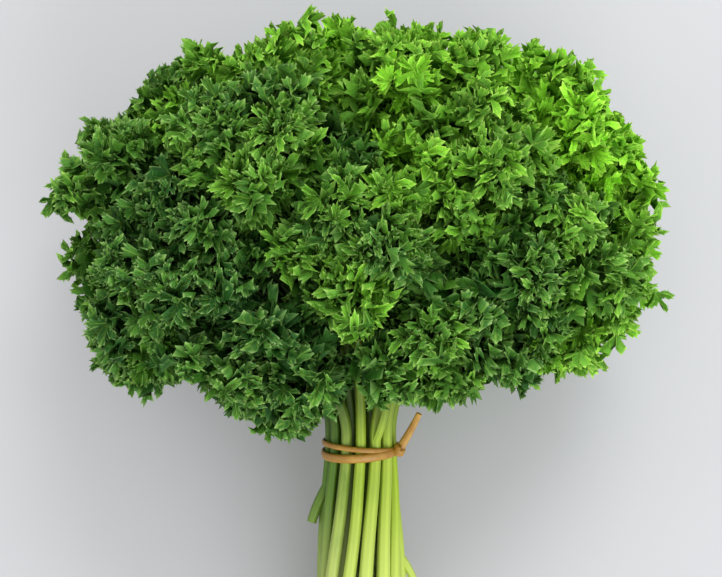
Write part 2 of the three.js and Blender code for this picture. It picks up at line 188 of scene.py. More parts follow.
# A blade 1 long: its clefts as shares of a lobe's length, its thickness, and how it is pleated and ruffled
CLEFT = 0.46
CLEFT_ROOT = 0.55
END_CLEFT = 0.8
STEEPEST = 0.8
BLADE_DEPTH = 0.05
ROOT_BACK = 0.02
PLEAT = 0.5
RUFFLE = (0.3, 0.6)
# How far a lobe's margin turns from its blade, in degrees, and the share of it on even lobes.
# What one tooth may add to it, how uneven the lengths of teeth are, and where long and short ones are rooted
MARGIN_TURN = (30, 85)
EVEN_LOBE_TURN = 0.7
TOOTH_TURN = 38
TOOTH_UNEVEN = 0.05
TOOTH_ROOT = {"long_from": 0.8, "long": 0.97, "short": 0.94}
# The attribute out at each kind of point, from 0 at the base to 1 at the rim, and where the sharp rim starts
OUT_MARKS = {"cleft_root": 0.3, "within": 0.62, "notch": 0.84, "tip": 1.0}
SHARP_FROM = 0.8

# A frond: how far its dome of directions goes down from its pole in radii, how uneven the directions are, how
# far its leaves reach at the pole and what the sides add, and the shape and height of its leaflets
DOME_DEPTH = 1.4
JITTER = {"leaflet": 0.12, "segment": 0.1}
FROND_REACH = {"pole": 27, "side": 11}
LEAFLET_UNEVEN = 3.5
LEAFLET_HALF_WIDTH = 0.6
LEAFLET_ROUNDNESS = 18
SEGMENT_UNEVEN = (-2.0, 1.5)
MAIN_STALK = {"behind": 0.8, "ahead": 8, "width": 2.2}
SIDE_STALK = {"root": 6, "pole": 12, "side": 10, "width": 1.2}
# The small stalks' tone, and their painted light: below 1 is painted shade
STALK_TONE = 0.5
STALK_LIGHT = 0.4
# Layers of a frond from the outside in: shares of its reach and of its segments, how much painted light they
# get, the rest being painted shade, their size and what a cleft adds to it, how far their stalks rise out of
# the layer, and their kinds
LAYERS = (
    {
        "reach": 1.0, "share": 0.47, "light": 1.0, "size": 1.0, "in_cleft": 0,
        "rise": (0.2, 1.4), "kinds": (0, BROAD_KINDS),
    },
    {
        "reach": 0.84, "share": 0.33, "light": 0.45, "size": 1.1, "in_cleft": 0.3,
        "rise": (0.2, 1.2), "kinds": (BROAD_KINDS, STALK_KIND),
    },
    {
        "reach": 0.58, "share": 0.20, "light": 0.0, "size": 1.5, "in_cleft": 0.9,
        "rise": (0.2, 0.8), "kinds": (FINE_KINDS, STALK_KIND),
    },
)
# How much fewer segments a frond has that faces down
UNDERSIDE_SHARE = 0.3
# A segment's size, and the ways of its stalk and upper side as shares of the ways that they are mixed from
SEGMENT_SIZES = {"least": 0.8, "spread": 0.5, "power": 1.5}
SEGMENT_MIDDLE = 0.55
STALK_WAY = {"from_leaflet": 2.6, "astray": 0.45}
UPPER_WAY = {"leaflet": 0.8, "dome": 0.5, "astray": 0.5}
# Clefts between fronds: where they begin on the way to the next frond, how much painted shade darkens them
# and the valleys between leaflets, how many outer segments they lose, and down to which side of the head they
# lose them
CLEFT_RANGE = {"start": 0.8, "width": 0.5}
CLEFT_SHADE = 0.85
VALLEY_SHADE = 0.3
THINNING = 0.6
THINNED_SIDE = -0.3
# Freshness of a frond, its leaflets and their segments: the side that is fresher, and shares that add up.
# That side is partly painted light: fronds facing the crown and the right are painted lighter, those facing
# up darker
FRESH_AND_LIT_SIDE = 0.45 * ACROSS + 0.9 * ALONG - 0.6 * UP
FROND_TONE = {"usual": 0.44, "drawn": 0.2, "by_side": 0.66}
LEAFLET_TONE = {"frond": 0.76, "drawn": 0.32}
SEGMENT_TONE = {"leaflet": 0.8, "drawn": 0.2}

# Broken side shoots of the stems
SHOOTS = (
    {"along": -11, "round": 172, "down": 10.5, "out": 3.6, "radius": 1.5},
    {"along": -31, "round": 8, "down": 7.5, "out": 3.4, "radius": 1.2},
    {"along": 3, "round": 72, "down": -12, "out": 5.5, "radius": 1.1},
)
SHOOT_AIM = 100
SHOOT_TAPER = (1.1, 0.9)
SHOOT_TIP = 1.2
SHOOT_BEND = {"down": 0.4, "out": 0.8}

# The rubber band: its two turns, its knot and its free end
TURNS = (
    {"along": 0.9, "lean_left": 0.9, "lean_front": 0.1, "width": 0.68},
    {"along": -0.9, "lean_left": -0.8, "lean_front": -0.5, "width": 1.1},
)
TURN_STEPS = 96
BAND_GAP = 0.6
KNOT = {"along": 0.2, "round": 24, "out": 1}
KNOT_WRAP = {"turns": 2.3, "half_length": 1.1, "radius": 1.15, "strand": 0.75, "sides": 10, "steps": 60}
TAG_REACH = {"along": 11, "across": 5.6, "out": 4.5}
TAG_BEND = {"along": 0.5, "across": 0.6, "out": 0.3}
TAG_STEPS = 25
TAG_TAPER = (1.25, 0.85)
TAG_FLATNESS = 0.5

# Where along Y the stems become shaded, in metres from the band, and where they become pale, in metres
SHADED_ABOVE_BAND = (-0.002, 0.012)
PALE_BELOW = (-0.025, -0.06)

# The stage, in metres but for the point that the camera looks at, which is in millimetres from the band
AIM = {"along": 46.6, "out": 10}
SURFACE_HALF = 3.0
SKY_COLOUR = (0.985, 0.985, 0.96, 1.0)
LIGHT_COLOUR = (0.95, 0.98, 1.0)
LIGHT_DISTANCE = 2.0
KEY_LIGHT = {"way": (0.3, 0.7, 0.85), "size": 1.1}
FILL_LIGHT = {"way": (0.35, -0.85, 0.6), "size": 1.5}
CAMERA_DISTANCE = 0.6
SENSOR_WIDTH = 36
CLIP_START = 0.01

Leaf = namedtuple("Leaf", "base stalk upper size kind tone light")


def linear(red, green, blue):
    """A colour as it looks on a screen, 0 to 255, in linear values."""
    shown = (c / 255 for c in (red, green, blue))
    return tuple(((c + 0.055) / 1.055) ** 2.4 if c > 0.04 else c / 12.92 for c in shown)


def colour(name, description, *shown):
    """A colour that the user can change."""
    return bpy.props.FloatVectorProperty(
        name=name, description=description, subtype="COLOR", size=3, min=0, max=1, default=linear(*shown)
    )


def metres(name, description, default, least, most):
    """A length that the user can change."""
    return bpy.props.FloatProperty(
        name=name, description=description, default=default, min=least, max=most,
        subtype="DISTANCE", unit="LENGTH",
    )


def degrees(name, description, default, most):
    """An angle that the user can change."""
    return bpy.props.FloatProperty(
        name=name, description=description, default=math.radians(default), min=0, max=math.radians(most),
        subtype="ANGLE", unit="ROTATION",
    )


def whole_number(name, description, default, least, most):
    """A count that the user can change."""
    return bpy.props.IntProperty(name=name, description=description, default=default, min=least, max=most)


def watts(name, description, default):
    """A light's power that the user can change."""
    return bpy.props.FloatProperty(name=name, description=description, default=default, min=0, unit="POWER")


class ParsleyLeafSettings(bpy.types.PropertyGroup):
    """Sizes and colours of the leaves"""

    segment_length: metres("Segment length", "Length of one lobed leaf segment", 0.0075, 0.004, 0.03)
    leaflets: whole_number("Leaflets", "Leaflets on one frond", 11, 4, 40)
    segments: whole_number("Segments", "Leaf segments on one frond", 415, 40, 900)
    roll: degrees("Roll", "How far a segment may be turned about its own stalk", 25, 180)
    fresh: colour("Fresh green", "Upper side of a young segment", 152, 232, 46)
    deep: colour("Deep green", "Upper side of an old segment", 38, 86, 36)
    margin: colour("Margin", "Teeth and ribs of a young segment", 184, 232, 88)
    old_margin: colour("Old margin", "Teeth of an old segment", 150, 186, 108)
    under: colour("Underside", "Lower side of a segment", 88, 146, 56)
    shade: colour("Shade", "Inner leaves and the middle of a segment", 25, 74, 16)
    stalk: colour("Stalk", "Small stalks inside a frond", 130, 170, 60)


class ParsleyStemSettings(bpy.types.PropertyGroup):
    """Sizes and colours of the stems"""

    sides: whole_number("Sides", "Points round a stem", 18, 6, 48)
    ribs: whole_number("Ribs", "Ribs round a stem", 6, 0, 24)
    rib_depth: bpy.props.FloatProperty(
        name="Rib depth", description="Depth of the ribs as a share of the stem's radius",
        default=0.035, min=0, max=0.3, subtype="FACTOR",
    )
    pale: colour("Pale green", "A stem in the light", 158, 186, 44)
    whitish: colour("Whitish green", "The palest stems", 198, 208, 122)
    olive: colour("Olive", "Older stems and their streaks", 78, 114, 26)
    pith: colour("Pith", "The cut ends", 226, 232, 190)


class ParsleyBandSettings(bpy.types.PropertyGroup):
    """Sizes and colours of the rubber band"""

    width: metres("Strand width", "Width of the band's strand along the stems", 0.0023, 0.0005, 0.006)
    depth: metres("Strand thickness", "Thickness of the band's strand", 0.0011, 0.0005, 0.004)
    sides: whole_number("Sides", "Points round the strand", 12, 6, 32)
    rubber: colour("Rubber", "Colour of the band", 152, 108, 24)
    worn: colour("Worn rubber", "Patches where the band is paler", 186, 146, 56)
    grain: colour("Grain", "Specks in the rubber", 150, 92, 28)


class ParsleyStageSettings(bpy.types.PropertyGroup):
    """The surface, the light and the camera's view"""

    surface: colour("Surface", "Colour of the surface", 180, 180, 184)
    sky: bpy.props.FloatProperty(
        name="Sky", description="Brightness of the light from all round", default=1.2, min=0
    )
    key_power: watts("Key light", "Power of the main light", 18.5)
    fill_power: watts("Fill light", "Power of the fill light", 21)
    frame_width: metres("Frame width", "Width that the camera sees at the bunch", 0.202, 0.05, 2)
    elevation: degrees("Elevation", "Height of the camera above the horizon", 78, 90)


class Value:
    """A node's output that adds, subtracts and multiplies like a number, by adding Math nodes."""

    def __init__(self, nodes, socket):
        self.nodes = nodes
        self.socket = socket

    def __add__(self, other):
        return self.nodes.math("ADD", self, other)

    def __radd__(self, other):
        return self.nodes.math("ADD", other, self)

    def __sub__(self, other):
        return self.nodes.math("SUBTRACT", self, other)

    def __rsub__(self, other):
        return self.nodes.math("SUBTRACT", other, self)

    def __mul__(self, other):
        return self.nodes.math("MULTIPLY", self, other)

    def __rmul__(self, other):
        return self.nodes.math("MULTIPLY", other, self)


class Nodes:
    """Adds nodes to a tree."""

    def __init__(self, tree):
        self.tree = tree

    def add(self, kind, settings=None, inputs=None, output=0):
        """One node: its settings first, then the values or links of its inputs by name or number."""
        node = self.tree.nodes.new(kind)
        for name, value in (settings or {}).items():
            setattr(node, name, value)
        for name, value in (inputs or {}).items():
            if isinstance(value, Value):
                self.tree.links.new(value.socket, node.inputs[name])
            else:
                node.inputs[name].default_value = value
        return Value(self, node.outputs[output]) if len(node.outputs) else None

    def math(self, operation, *values):
        """A Math node on values or numbers."""
        return self.add("ShaderNodeMath", {"operation": operation}, dict(enumerate(values)))

    def attribute(self, name):
        return self.add("ShaderNodeAttribute", {"attribute_name": name}, output=2)

    def place(self):
        """Object coordinates."""
        return self.add("ShaderNodeTexCoord", output=3)

    def noise(self, place, scale, detail=2.0, roughness=0.5):
        inputs = {"Vector": place, "Scale": scale, "Detail": detail, "Roughness": roughness}
        return self.add("ShaderNodeTexNoise", None, inputs)

    def mapped(self, place, turn, scale):
        return self.add("ShaderNodeMapping", None, {"Vector": place, "Rotation": turn, "Scale": scale})

    def smooth(self, value, start, end):
        """0 at start and 1 at end, smoothly."""
        return self.add(
            "ShaderNodeMapRange", {"interpolation_type": "SMOOTHSTEP"},
            {"Value": value, "From Min": start, "From Max": end},
        )

    def mix(self, a, b, share):
        """Colour a where share is 0 and b where it is 1."""
        return self.add("ShaderNodeMix", {"data_type": "RGBA"}, {0: share, 6: rgba(a), 7: rgba(b)}, output=2)

    def bump(self, height, strength, distance):
        inputs = {"Height": height, "Strength": strength, "Distance": distance}
        return self.add("ShaderNodeBump", None, inputs)


def rgba(value):
    """A colour as a socket takes it, or a value as it is."""
    return value if isinstance(value, Value) else (*value, 1.0)


def darker(settings_colour, share):
    return tuple(share * c for c in settings_colour)


def new_material(name):
    material = bpy.data.materials.new(name)
    material.use_nodes = True
    material.node_tree.nodes.clear()
    return material, Nodes(material.node_tree)


def finish_material(nodes, inputs):
    surface = nodes.add("ShaderNodeBsdfPrincipled", None, inputs)
    nodes.add("ShaderNodeOutputMaterial", None, {"Surface": surface})


def leaf_material(settings):
    """Greens by freshness, partly painted light; painted shade inside a frond and in a segment's middle; ribs
    and pale teeth, partly a painted highlight.
    """
    material, nodes = new_material("curly_leaf")
    tone = nodes.attribute("tone")
    light = nodes.attribute("sun")
    across = nodes.attribute("across")
    out = nodes.attribute("out")
    under = nodes.attribute("under")
    patch = nodes.noise(nodes.place(), 55, 2)
    fine = nodes.noise(nodes.place(), 1400, 3, 0.6)
    crinkle = nodes.noise(nodes.place(), 420, 2, 0.5)

    green = nodes.mix(settings.deep, settings.fresh, nodes.smooth(0.8 * tone + 0.3 * patch, 0.18, 1.0))
    # Painted shade, less on fresh fronds: darker towards a segment's middle and base, and where its painted
    # light is low
    old = 0.9 - 0.85 * tone
    green = nodes.mix(green, settings.shade, old * (1 - nodes.smooth(out, 0.35, 0.95)))
    green = nodes.mix(green, settings.shade, old * (1 - light))
    green = nodes.mix(green, settings.shade, 0.3 * nodes.smooth(fine, 0.5, 0.75))

    midrib = (1 - nodes.smooth(across, 0.03, 0.16)) * (1 - 0.45 * out)
    side_ribs = nodes.smooth(nodes.math("SINE", 26 * out - 17 * across), 0.62, 1.0)
    side_ribs = side_ribs * (1 - nodes.smooth(across, 0.6, 0.9))
    ribs = nodes.math("MAXIMUM", midrib, 0.45 * side_ribs)
    # The paler underside and ribs show where the painted light is high, so the painted shade dims them
    green = nodes.mix(green, settings.under, 0.5 * under * light)
    green = nodes.mix(green, settings.margin, (0.26 + 0.24 * tone) * ribs * light)

    # Pale teeth: partly the leaf's own colour, partly a painted highlight on its curled rims, dimmed by
    # painted shade
    teeth = nodes.smooth(out, 0.79, 0.97)
    margin = nodes.mix(settings.old_margin, settings.margin, nodes.smooth(tone, 0.2, 0.8))
    green = nodes.mix(green, margin, teeth * (0.7 + 0.3 * tone) * (0.2 + 0.8 * light))
    green = nodes.mix(green, settings.stalk, 0.7 * nodes.attribute("stalk"))
    relief = 0.35 * fine + 1.2 * crinkle - (1 - 2 * under) * ribs
    finish_material(nodes, {
        "Base Color": green,
        "Roughness": 0.5 + 0.12 * fine + 0.08 * under,
        "Normal": nodes.bump(relief, 0.6, 0.0007),
        "Specular IOR Level": 0.18,
    })
    return material


def stem_material(settings):
    """Pale to olive greens with streaks along the stem, painted shade under the leaves, inside the bundle and
    partly in the grooves.
    """
    material, nodes = new_material("parsley_stem")
    tone = nodes.attribute("tone")
    rib = nodes.attribute("rib")
    lengthwise = nodes.mapped(nodes.place(), (-TILT, 0, 0), (420, 9, 420))
    streak = nodes.noise(lengthwise, 1, 3, 0.6)
    patch = nodes.noise(nodes.place(), 45, 2)
    along_y = nodes.add("ShaderNodeSeparateXYZ", None, {0: nodes.place()}, output=1)
    # The colour of the painted shade on the stems
    dark = darker(settings.olive, 0.4)

    pale = nodes.mix(settings.pale, settings.whitish, 0.7 * nodes.attribute("whiteness"))
    green = nodes.mix(pale, settings.olive, nodes.smooth(0.4 * streak + 0.85 * tone + 0.2 * patch, 0.3, 1.1))
    # Darker in the grooves between ribs: partly the stems' own streaks, partly painted shade
    green = nodes.mix(green, dark, 0.25 * nodes.smooth(rib, 0.2, -1.0))
    # Painted shade on the stems inside the bundle
    green = nodes.mix(green, dark, 0.9 * nodes.attribute("inner"))
    # Painted shade on the stems above the band, under the head
    shaded_by_head = nodes.smooth(along_y, *(BAND_CENTRE[1] * MM + above for above in SHADED_ABOVE_BAND))
    green = nodes.mix(green, dark, shaded_by_head * (0.5 + 0.5 * tone))
    green = nodes.mix(green, settings.whitish, 0.4 * nodes.smooth(along_y, *PALE_BELOW))
    green = nodes.mix(green, settings.pith, nodes.smooth(nodes.attribute("cut"), 0.1, 0.6))
    finish_material(nodes, {
        "Base Color": green,
        "Roughness": 0.36 + 0.2 * streak,
        "Normal": nodes.bump(streak + 0.5 * rib, 0.35, 0.0002),
        "Specular IOR Level": 0.25,
        "Coat Weight": 0.04,
        "Coat Roughness": 0.25,
    })
    return material


def band_material(settings):
    """Tan rubber with worn patches, grain and fine stretch marks across the strand."""
    material, nodes = new_material("band_rubber")
    grain = nodes.noise(nodes.place(), 900, 3, 0.6)
    wear = nodes.noise(nodes.place(), 160, 2)
    stretch = nodes.math("SINE", 190 * nodes.attribute("along"))
    tan = nodes.mix(settings.rubber, settings.worn, nodes.smooth(wear, 0.4, 0.75))
    tan = nodes.mix(tan, settings.grain, 0.5 * nodes.smooth(grain, 0.5, 0.8))
    finish_material(nodes, {
        "Base Color": tan,
        "Roughness": 0.38 + 0.2 * grain,
        "Normal": nodes.bump(grain + 0.3 * stretch, 0.3, 0.00012),
        "Coat Weight": 0.2,
        "Coat Roughness": 0.3,
        "Subsurface Weight": 0.15,
        "Subsurface Scale": 0.001,
    })
    return material


def surface_material(settings):
    """A matt surface with a trace of unevenness."""
    material, nodes = new_material("pale_surface")
    grain = nodes.noise(nodes.place(), 8, 3)
    shade = nodes.mix(settings.surface, darker(settings.surface, 0.985), nodes.smooth(grain, 0.4, 0.6))
    finish_material(nodes, {"Base Color": shade, "Roughness": 0.75 + 0.1 * grain})
    return material


def drawn(i, use):
    """A repeatable draw from 0 to 1 for a stem's number and what it is drawn for."""
    wave = math.sin((i + SEED) * MIXING[0] + DRAWS[use] * MIXING[1]) * MIXING[2]
    return wave - math.floor(wave)


def drawn_either_way(i, use):
    """A repeatable draw from -1 to 1."""
    return 2 * drawn(i, use) - 1


def clamp(value):
    return min(max(value, 0), 1)


def unit(vector):
    return vector / np.linalg.norm(vector)


def in_bunch(along, across, out):
    """A point given along the bunch, across it and out of its flat plane."""
    return BAND_CENTRE + along * ALONG + across * ACROSS + out * UP


def oval_point(across, deep, share, steps=201):
    """The point and outward direction at a share of the way round an oval, evenly along its edge."""
    turns = np.linspace(0, 1, steps)
    ring = np.stack([across * np.cos(2 * np.pi * turns), deep * np.sin(2 * np.pi * turns)], axis=1)
    lengths = lengths_along(ring)
    angle = 2 * math.pi * np.interp((share % 1) * lengths[-1], lengths, turns)
    place = np.array([across * math.cos(angle), deep * math.sin(angle)])
    return place, unit(np.array([deep * math.cos(angle), across * math.sin(angle)]))


def lengths_along(points):
    """How far along a row of points each one is."""
    return np.concatenate([[0], np.cumsum(np.linalg.norm(np.diff(points, axis=0), axis=1))])


def place_hubs():
    """Where each leafy stem's hub stands and which way its leaves face."""
    hubs = []
    for w, whorl in enumerate(WHORLS):
        for k in range(whorl["count"]):
            i = len(hubs)
            share = whorl["start"] + (k + CROWDING * drawn_either_way(i, "place")) / whorl["count"]
            place, edge_out = oval_point(whorl["across"], whorl["deep"], share)
            outward = edge_out[0] * ACROSS + edge_out[1] * UP
            hangs = w == HANGING["whorl"] and k == HANGING["place"]
            uneven = WHORL_SPACING * CROWDING * drawn_either_way(i, "height")
            along = whorl["along"] + uneven + HEAD_SLANT * place[0] - HANGING["lower"] * hangs
            from_crown = math.radians(whorl["facing"] + HANGING["turn"] * hangs)
            head_start = HEAD_START + UNDERSIDE_SLANT * max(place[0], 0) - HANGING["lower"] * hangs
            hubs.append({
                "index": i,
                "number": f"{i + 1:02d}",
                "whorl": w,
                "hangs": hangs,
                "above_start": along - head_start,
                "round": math.atan2(place[1], place[0]),
                "point": in_bunch(along, place[0] + HEAD_SHIFT, place[1]),
                "facing": ALONG * math.cos(from_crown) + outward * math.sin(from_crown),
                "outward": outward,
                "from_axis": outward @ (place[0] * ACROSS + place[1] * UP),
            })
    place_in_bundle(hubs)
    return hubs


def place_in_bundle(hubs):
    """Ring and angle under the band for each hub: inner whorls inside, the outer two share the last ring."""
    last = len(BUNDLE_RINGS) - 1
    for r, pitches in enumerate(BUNDLE_RINGS):
        ring = sorted((hub for hub in hubs if min(hub["whorl"], last) == r), key=lambda hub: hub["round"])
        mean_round = sum(hub["round"] for hub in ring) / len(ring)
        for k, hub in enumerate(ring):
            hub["bundle_radius"] = pitches * STEM_PITCH
            hub["bundle_round"] = mean_round + 2 * math.pi * (k - (len(ring) - 1) / 2) / len(ring)


def bundle_point(hub, along):
    """Where a stem is at a place along the bundle, which spreads and turns towards its cut ends."""
    share = max(along / CUT_END, 0)
    radius = hub["bundle_radius"] * (1 + (SPREAD_AT_CUT - 1) * share)
    turn = hub["bundle_round"] + TWIST_AT_CUT * share
    return in_bunch(along, radius * math.cos(turn), radius * math.sin(turn))


def bezier(points, count):
    t = np.linspace(0, 1, count)[:, None]
    a, b, c, d = points
    return a * (1 - t) ** 3 + 3 * b * t * (1 - t) ** 2 + 3 * c * t**2 * (1 - t) + d * t**3


def stem_line(hub, steps=30):
    """Points from the stem's cut end, through the band, to just behind its hub, with the radius at each."""
    cut = CUT_END + CUT_UNEVEN * drawn_either_way(hub["index"], "cut")
    held = np.array([bundle_point(hub, along) for along in np.linspace(cut, PARTING, steps)])
    parting = held[-1]
    end = hub["point"] - hub["facing"] * (CORE_RADIUS + STEM_GAP)
    reach = np.linalg.norm(end - parting)
    handles = (parting, parting + ALONG * RISE * reach, end - hub["facing"] * ARRIVAL * reach, end)
    points = np.concatenate([held, bezier(handles, steps)[1:]])
    lengths = lengths_along(points)
    at_band = lengths[steps - 1]
    girth = 1.0 + GIRTH_SPREAD * drawn_either_way(hub["index"], "girth")
    radii = np.interp(lengths, [0, at_band, lengths[-1]], list(STEM_RADIUS.values()))
    phase = math.tau * drawn(hub["index"], "wave")
    bend = STEM_WAVE["height"] * (1 - np.exp(-((lengths - at_band) / STEM_WAVE["from_band"]) ** 2))
    bend = bend * (lengths < lengths[-1] - STEM_WAVE["from_hub"])
    points = points + np.outer(bend * np.sin(lengths / STEM_WAVE["across"] + phase), ACROSS)
    points = points + np.outer(bend * np.cos(lengths / STEM_WAVE["out"] + 2 * phase), UP)
    return points, radii * girth


def shoot_line(hub, shoot, steps=9):
    """Points of a side shoot, from the middle of its stem to its broken end."""
    start = bundle_point(hub, shoot["along"])
    away = unit(start - in_bunch(shoot["along"], 0, 0))
    end = start - ALONG * shoot["down"] + away * (shoot["out"] + SHOOT_TIP)
    bend = start - ALONG * SHOOT_BEND["down"] * shoot["down"] + away * SHOOT_BEND["out"] * shoot["out"]
    t = np.linspace(0, 1, steps)[:, None]
    return start * (1 - t) ** 2 + 2 * bend * t * (1 - t) + end * t**2


def lines_of_stem(hub, hubs):
    """A stem's own line, and those of the shoots whose side of the bundle it is nearest to."""
    lines = [stem_line(hub)]
    for shoot in SHOOTS:
        turn = math.radians(shoot["round"])
        aim = in_bunch(shoot["along"], SHOOT_AIM * math.cos(turn), SHOOT_AIM * math.sin(turn))
        nearest = min(hubs, key=lambda other: np.linalg.norm(bundle_point(other, shoot["along"]) - aim))
        if nearest is hub:
            line = shoot_line(hub, shoot)
            lines.append((line, np.linspace(*SHOOT_TAPER, len(line)) * shoot["radius"]))
    return lines


def stem_mark(hub, name):
    """A stem's own share of a colour, which is larger at the left of the bundle: for its olive tone, partly
    painted shade.
    """
    usual, at_left, by_draw = STEM_MARKS[name]
    leftness = -hub["bundle_radius"] * math.cos(hub["bundle_round"]) / (BUNDLE_RINGS[-1] * STEM_PITCH)
    return clamp(usual + at_left * leftness + by_draw * (drawn(hub["index"], name) - 0.5))


def limits_of(hub, hubs):
    """The planes that bound the middles of one frond's leaf segments, as normals and reaches from its hub.

    Those half way to the other hubs come first.
    """
    limits = []
    for other in hubs:
        if other is not hub:
            towards = other["point"] - hub["point"]
            reach = np.linalg.norm(towards)
            limits.append((towards / reach, reach / 2 - CREASE))
    limits.append((-hub["facing"], FROND_BACK - INSET))
    limits.append((hub["facing"], FROND_HEIGHT - INSET))
    limits.append((-ALONG, hub["above_start"] - INSET))
    for side in HANGING_SIDES if hub["hangs"] else ():
        limits.append((unit(side["along"] * ALONG + side["across"] * ACROSS), side["reach"] - 2 * INSET))
    for shoulder in SHOULDERS:
        way = unit(shoulder["along"] * ALONG + shoulder["across"] * ACROSS)
        room = shoulder["reach"] - (hub["point"] - BAND_CENTRE) @ way
        limits.append((way, max(room, LEAST_ROOM)))
    if hub["from_axis"] > CORE_SPACE + CORE_MARGIN["least"]:
        limits.append((-hub["outward"], hub["from_axis"] - CORE_SPACE + CORE_MARGIN["into"]))
    limits.append((np.array([0, 0, -1.0]), hub["point"][2] - ABOVE_SURFACE - INSET))
    return np.array([limit[0] for limit in limits]), np.array([limit[1] for limit in limits])


def gather(points, hub, limits):
    """Draws points back towards the hub so that they stay inside the limits, without folding any over."""
    normals, reaches = limits
    arms = points - hub["point"]
    push = np.max(arms @ normals.T / reaches, axis=1).clip(0)
    kept = (1 + push**HUG) ** (-1 / HUG)
    return swell(hub["point"] + arms * kept[:, None])


def swell(points):
    """Moves points as the bumps and dents near them say."""
    along, across = (points - BAND_CENTRE) @ ALONG, (points - BAND_CENTRE) @ ACROSS
    for place, move in BUMPS:
        near = np.exp(-((along - place[0]) ** 2 + (across - place[1]) ** 2) / BUMP_SIZE**2)
        points = points + np.outer(near, move[0] * ALONG + move[1] * ACROSS)
    return points


class Row:
    """A row of points across a blade, each with its marks (across, out) and its place along the row."""

    def __init__(self):
        self.points, self.marks, self.places = [], [], []

    def add(self, point, marks, place):
        self.points.append(point)
        self.marks.append(marks)
        self.places.append(place)


def strip(outer, outer_places, inner, inner_places):
    """Triangles between two rows of points, given each point's place along its row."""
    faces = []
    i = j = 0
    while i < len(outer) - 1 or j < len(inner) - 1:
        if j == len(inner) - 1 or (i < len(outer) - 1 and outer_places[i + 1] <= inner_places[j + 1]):
            faces.append((inner[j], outer[i], outer[i + 1]))
            i += 1
        else:
            faces.append((inner[j], outer[i], inner[j + 1]))
            j += 1
    return faces


def lift(angle, r, fold, cup, curl):
    """A point at an angle and distance from a blade's base, raised by the blade's pleats, cup and curl."""
    z = PLEAT * fold * r + cup * r * r + curl * r * r
    z = min(max(z, -STEEPEST * r), STEEPEST * r)
    flat = math.sqrt(max(r * r - z * z, 0))
    return (flat * math.cos(angle), flat * math.sin(angle), z)


def blade_rows(kind):
    """The rim of a leaf segment, with its teeth, and the row of points inside it."""
    cup, lobes = LEAF_KINDS[kind]
    teeth, within = (FINE_TEETH, FINE_WITHIN) if kind < FINE_KINDS else (PLAIN_TEETH, PLAIN_WITHIN)
    rng = np.random.default_rng(SEED + kind)
    rim, inner = Row(), Row()

    def cleft(angle, r, place):
        turn = math.radians(angle)
        rim.add(lift(turn, r, 1, cup, 0), (1.0, OUT_MARKS["tip"]), place)
        inner.add(lift(turn, CLEFT_ROOT * r, 1, cup, 0), (1.0, OUT_MARKS["cleft_root"]), place)

    side = 1 if kind % 2 else -1
    for j, (angle, half, length) in enumerate(lobes):
        side = -side
        curl = side * rng.uniform(*RUFFLE)
        margin = side * rng.uniform(*MARGIN_TURN) * (1 if j % 2 else EVEN_LOBE_TURN)
        before = lobes[j - 1][2] if j else END_CLEFT * length
        cleft(angle - half, CLEFT * min(before, length), 2 * j)
        for k, (place, share) in enumerate(teeth):
            turn = math.radians(angle + half * place)
            share *= 1 + TOOTH_UNEVEN * rng.uniform(-1, 1)
            rooted = np.interp(place, *zip(*within))
            rooted *= TOOTH_ROOT["long" if share > TOOTH_ROOT["long_from"] else "short"]
            x, y, z = lift(turn, rooted * length, abs(place), cup, curl * (1 - place * place))
            rise = math.radians(margin + TOOTH_TURN * rng.uniform(-1, 1))
            rest = (share - rooted) * length
            flat = rest * math.cos(rise)
            tip = (x + flat * math.cos(turn), y + flat * math.sin(turn), z + rest * math.sin(rise))
            rim.add(tip, (abs(place), OUT_MARKS["notch" if k % 2 else "tip"]), 2 * j + 1 + place)
        for place, share in within:
            turn = math.radians(angle + half * place)
            point = lift(turn, share * length, abs(place), cup, curl * (1 - place * place))
            inner.add(point, (abs(place), OUT_MARKS["within"]), 2 * j + 1 + place)
    angle, half, length = lobes[-1]
    cleft(angle + half, CLEFT * END_CLEFT * length, 2 * len(lobes))
    return rim, inner


def blade(kind):
    """One leaf segment, 1 long: a ruffled fan of toothed lobes, as a closed blade with a sharp edge."""
    rim, inner = blade_rows(kind)
    n, m = len(rim.points), len(inner.points)
    top = [(0.0, 0.0, 0.0)] + inner.points
    low = [(x - (ROOT_BACK if k == 0 else 0), y, z - BLADE_DEPTH) for k, (x, y, z) in enumerate(top)]
    marks = rim.marks + 2 * ([(0.0, 0.0)] + inner.marks)
    first = n + 1
    faces = strip(list(range(n)), rim.places, list(range(first, first + m)), inner.places)
    faces += [(n, first + k, first + k + 1) for k in range(m - 1)]
    faces += [(n, 0, first), (n, first + m - 1, n - 1)]
    shift = m + 1
    under = [tuple(v + shift if v >= n else v for v in reversed(face)) for face in faces]
    root = n + shift
    closing = [(n, root, 0), (n, n - 1, root)]
    return rim.points + top + low, marks, faces + closing, under


def put_on(mesh, name, kind, domain, values):
    """Gives a mesh a named attribute."""
    attribute = mesh.attributes.new(name, kind, domain)
    attribute.data.foreach_set("vector" if kind == "FLOAT_VECTOR" else "value", np.ravel(values))


def stalk_bar():
    """A stalk, 1 long, as a tapered bar with three sides."""
    thirds = [k * math.tau / 3 for k in range(3)]
    points = [(x, half * math.cos(t), half * math.sin(t)) for x, half in STALK_TAPER for t in thirds]
    faces = [(0, 2, 1), (6, 7, 8)]
    for ring in (0, 3):
        for k in range(3):
            a, b = ring + k, ring + (k + 1) % 3
            faces += [(a, b, b + 3), (a, b + 3, a + 3)]
    return points, [(0.0, 0.0)] * len(points), faces, []


